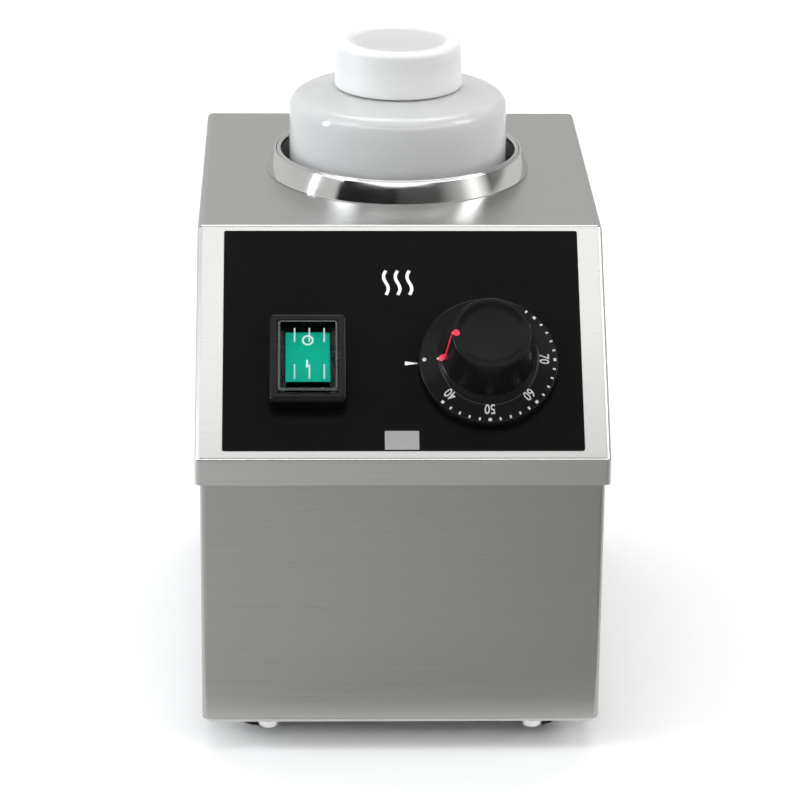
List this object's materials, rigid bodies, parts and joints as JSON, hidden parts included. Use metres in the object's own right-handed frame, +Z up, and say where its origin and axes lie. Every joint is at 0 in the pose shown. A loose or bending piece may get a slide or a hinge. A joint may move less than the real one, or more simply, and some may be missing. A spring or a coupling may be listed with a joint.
{
  "type": "sauce bottle warmer",
  "caption": "Countertop warmer for a squeeze bottle of cheese sauce: stainless housing with sloping thermostat panel, heated round well, and bottle with screw cap.",
  "frame": {"origin": "centre of the bounding box in plan, on the worktop that the feet stand on", "axes": "+X to the right as the user sees it, +Y from the front panel to the back, +Z up"},
  "size_m": [0.16, 0.256, 0.2499],
  "materials": {
    "satin_stainless": "satin, brushed in one direction",
    "polished_stainless": "mirror polished",
    "screw_steel": "bright zinc plated",
    "zinc_steel": "galvanised sheet",
    "rating_plate": "satin anodised, blank",
    "brass": "plain",
    "copper": "drawn copper",
    "overlay_black": "fine satin printed film",
    "knob_black": "smooth moulded",
    "switch_black": "smooth moulded",
    "rocker_green": "translucent, lit from inside",
    "clear_plastic": "clear soft moulding",
    "lamp_glass": "clear",
    "moulded_grey": "moulded",
    "moulded_white": "moulded",
    "mica_heater": "metal-clad mica band",
    "insulation": "needled fibre",
    "wire_green": "silicone sleeved",
    "wire_brown": "silicone sleeved",
    "wire_white": "glass-braid sleeved",
    "gland_black": "moulded nylon",
    "foot_rubber": "moulded",
    "bottle_plastic": "translucent, smooth",
    "cap_plastic": "translucent white, smooth",
    "liner_foam": "foamed"
  },
  "bodies": {
    "housing": {"band_heater": "mica_heater", "base_nuts": "screw_steel", "base_plate": "satin_stainless", "base_screws": "screw_steel", "block_screws": "screw_steel", "bulb_clip": "zinc_steel", "capillary_tube": "copper", "control_overlay": "overlay_black", "deck_nuts": "screw_steel", "deck_studs": "screw_steel", "earth_nuts": "brass", "earth_stud": "screw_steel", "earth_wire": "wire_green", "foot_front_left": "foot_rubber", "foot_front_right": "foot_rubber", "foot_nuts": "screw_steel", "foot_rear_left": "foot_rubber", "foot_rear_right": "foot_rubber", "foot_screws": "screw_steel", "gland_body": "gland_black", "gland_cap": "gland_black", "gland_locknut": "gland_black", "gland_seal": "foot_rubber", "heater_bolts": "screw_steel", "heater_nuts": "screw_steel", "heater_terminals": "brass", "heater_wires": "wire_white", "hood": "satin_stainless", "hood_nuts": "screw_steel", "hood_screws": "screw_steel", "insulation_pad": "insulation", "insulation_sleeve": "insulation", "lower_body": "satin_stainless", "rating_plate": "rating_plate", "sensor_bulb": "copper", "splash_cover": "clear_plastic", "supply_wires": "wire_brown", "support_bracket": "zinc_steel", "switch_bezel": "switch_black", "switch_case": "switch_black", "switch_lamp": "lamp_glass", "switch_tabs": "brass", "terminal_block": "moulded_white", "terminal_clamps": "brass", "thermal_cutout": "moulded_grey", "thermostat_body": "moulded_grey", "thermostat_screws": "screw_steel", "thermostat_tabs": "brass", "thermostat_wire": "wire_white", "well": "polished_stainless", "well_collar": "polished_stainless", "well_flange_ring": "satin_stainless"},
    "knob": {"thermostat_knob": "knob_black", "thermostat_shaft": "screw_steel"},
    "rocker": {"switch_rocker": "rocker_green"},
    "bottle": {"bottle": "bottle_plastic"},
    "cap_wad": {"cap_liner": "liner_foam"},
    "cap": {"bottle_cap": "cap_plastic"}
  },
  "joints": [
    {"name": "knob_turn", "type": "hinge", "parent": "housing", "child": "knob", "pos_m": [0.0334, -0.09803, 0.15221], "axis": [0, 0.6947, -0.7193], "range_deg": [0, 234]},
    {"name": "rocker_tilt", "type": "hinge", "parent": "housing", "child": "rocker", "pos_m": [-0.0365, -0.09942, 0.15336], "axis": [1, 0, 0], "range_deg": [0, 18]},
    {"name": "bottle_lift", "type": "slide", "parent": "housing", "child": "bottle", "axis": [0, 0, 1], "range_m": [0, 0.15]},
    {"name": "cap_rise", "type": "slide", "parent": "bottle", "child": "cap_wad", "axis": [0, 0, 1], "range_m": [0, 0.018]},
    {"name": "cap_turn", "type": "hinge", "parent": "cap_wad", "child": "cap", "pos_m": [0.001, 0.02678, 0.24], "axis": [0, 0, 1], "range_deg": [0, 719]}
  ],
  "couplings": [
    {"joint": "cap_rise", "follows": "cap_turn", "m_per_rad": 0.0014324}
  ]
}
